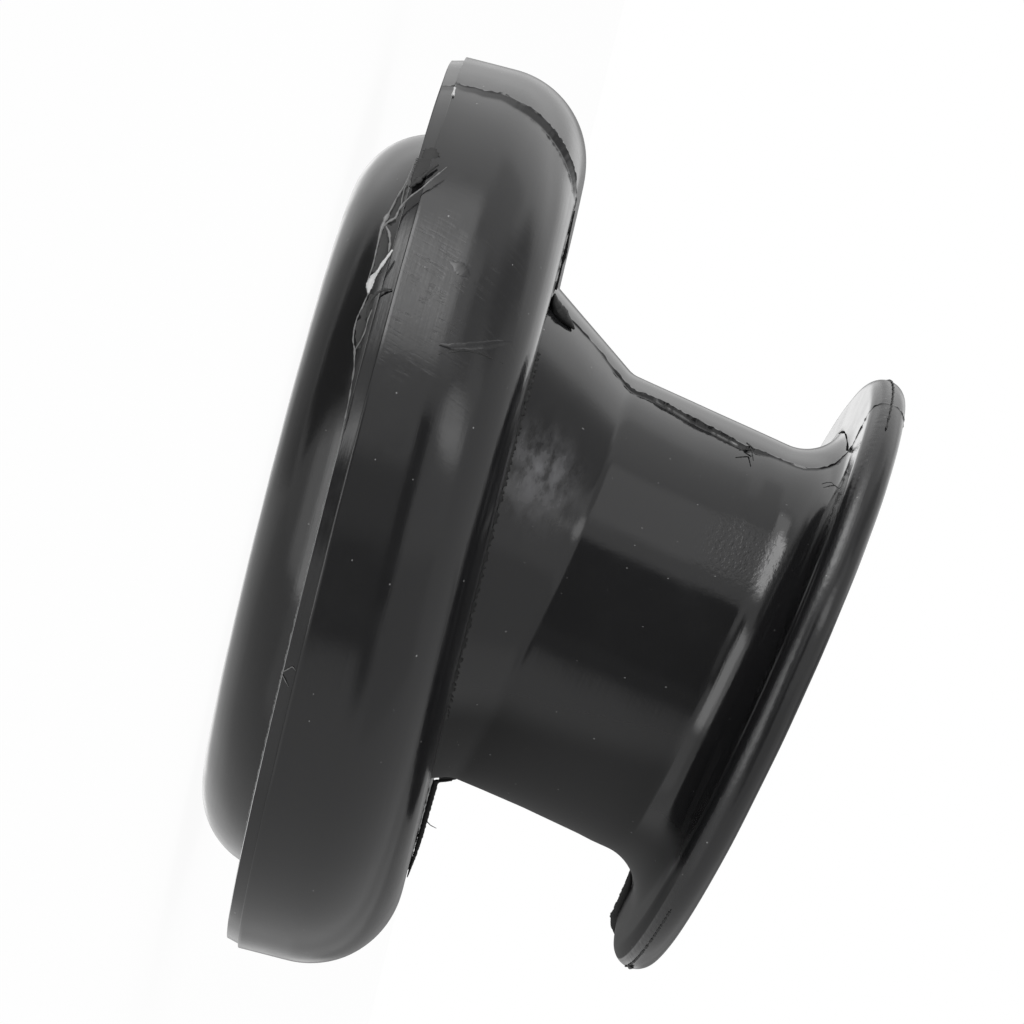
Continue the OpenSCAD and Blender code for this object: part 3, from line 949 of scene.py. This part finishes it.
# Brightness of the tent's windows and flags, each over those before it: sides in degrees
# (left and right of the camera, below and above the horizon), softness and brightness
TENT = [
    ((-180, -122, -90, -42), 12, 0.5),
    ((-150, -92, -34, 42), 14, 1.2),
    ((34, 142, -90, 90), 18, 0.74),
    ((-180, 180, 60, 91), 12, 0.75),
    ((-96, -36, 22, 42), 10, 0.7),
    ((-112, -76, 10, 34), 8, 0.95),
    ((-62, -34, 42, 60), 8, 0.95),
    ((-20, 10, 12, 62), 8, 0.8),
    ((10, 62, 22, 62), 10, 0.62),
    ((-124, -62, 40, 60), 12, 0.45),
    ((142, 160, -4, 80), 10, 0.5),
    ((156, 180, 3, 66), 5, 0.28),
    ((-179, -162, 12, 60), 6, 1.05),
    ((172, 190, -22, -6), 5, 1.4),
    ((168, 192, -4, 9), 4, 0.3),
    ((-90, -38, -18, 6), 4, 2.1),
    ((-72, -47, -6, 7), 4, 2.7),
    ((-78, -42, -27, -5), 6, 5.6),
    ((-74, -38, 7, 22), 4, 1.25),
    ((-38, -12, -9, 7), 7, 0.9),
    ((-12, 6, -9, 9), 6, 0.45),
    ((6, 36, -9, 9), 8, 0.22),
    ((4, 48, 3, 18), 14, 0.2),
    ((-26, 24, 3, 18), 4, 0.13),
    ((-26, 14, -19, -8), 5, 0.2),
    ((-114, -33, -80, -36), 9, 0.2),
    ((-24, 34, -62, -36), 10, 1.7),
    ((-24, 36, -41, -21), 6, 3.2),
    ((40, 80, -40, -12), 10, 1.0),
]
TENT_LEVEL = 0.85
TENT_R = 1200.0
TENT_COLUMNS = 181
TENT_ROWS = 121

# One lamp shows as a soft-edged spot: its place, half its width and height, its brightness
LAMP_ASIDE = -28
LAMP_HEIGHT = 42
LAMP_HALF_WIDTH = 8.5
LAMP_HALF_HEIGHT = 18
LAMP_LEVEL = 2.6

aside, height = np.meshgrid(
    np.linspace(-180, 180, TENT_COLUMNS), np.linspace(-90, 90, TENT_ROWS))
level = np.full(aside.shape, TENT_LEVEL)
for sides, soft, brightness in TENT:
    inside = window(aside, height, sides, soft)
    level = level * (1 - inside) + brightness * inside
off_lamp = ((aside - LAMP_ASIDE) / LAMP_HALF_WIDTH) ** 2
off_lamp += ((height - LAMP_HEIGHT) / LAMP_HALF_HEIGHT) ** 2
lamp_spot = np.exp(-off_lamp ** 5)
level = level * (1 - lamp_spot) + LAMP_LEVEL * lamp_spot

turn = np.radians(aside + CAMERA_SIDE)
rise = np.radians(height)
tent_grid = PART_MIDDLE.reshape(3, 1, 1) + TENT_R * np.stack(
    [np.cos(turn) * np.cos(rise), np.sin(turn) * np.cos(rise), np.sin(rise)])
tent = grid_mesh("light_tent", tent_grid, False, False, attributes={"level": level})
tent_paint = bpy.data.materials.new("tent cloth, lit from outside")
tent_paint.use_nodes = True
tent_paint.cycles.emission_sampling = "NONE"
tent_tree = tent_paint.node_tree
tent_tree.nodes.clear()
tent_level = add_node(tent_tree, "ShaderNodeAttribute", {"attribute_name": "level"})
tent_glow = add_node(tent_tree, "ShaderNodeEmission", {}, {"Strength": tent_level.outputs["Fac"]})
add_node(tent_tree, "ShaderNodeOutputMaterial", {}, {"Surface": tent_glow.outputs[0]})
tent.data.materials.append(tent_paint)
tent.visible_camera = False
tent.visible_diffuse = False
tent.visible_transmission = False
tent.visible_shadow = False


# The camera: a long lens that looks level at the part from the near side. It is rolled so
# that the part's Z points to the right of the picture.

CAMERA_AIM = (-2.395, -1.482, 12.657)
CAMERA_DISTANCE = 460.0
CAMERA_AZIMUTH = 22.7255
CAMERA_ELEVATION = 0.5939
CAMERA_ROLL = 104.3483
CAMERA_LENS = 298.83

camera_data = bpy.data.cameras.new("long_lens")
camera_data.lens = CAMERA_LENS
camera_data.sensor_width = 36
camera = bpy.data.objects.new("long_lens", camera_data)
bpy.context.scene.collection.objects.link(camera)
around = math.radians(CAMERA_AZIMUTH)
above = math.radians(CAMERA_ELEVATION)
back = np.array([
    -math.sin(around) * math.cos(above), -math.cos(around) * math.cos(above), math.sin(above),
])
right = np.cross(-back, [0, 0, 1])
right /= np.linalg.norm(right)
up = np.cross(right, -back)
roll = math.radians(CAMERA_ROLL)
camera_x = right * math.cos(roll) + up * math.sin(roll)
camera_y = -right * math.sin(roll) + up * math.cos(roll)
matrix = np.eye(4)
matrix[:3, 0], matrix[:3, 1], matrix[:3, 2] = camera_x, camera_y, back
matrix[:3, 3] = (np.array(CAMERA_AIM) + back * CAMERA_DISTANCE) * MM
camera.matrix_world = Matrix(matrix.tolist())
camera_data.clip_start = 0.01
camera_data.clip_end = 10
bpy.context.scene.camera = camera
bpy.context.scene.view_settings.view_transform = "Standard"
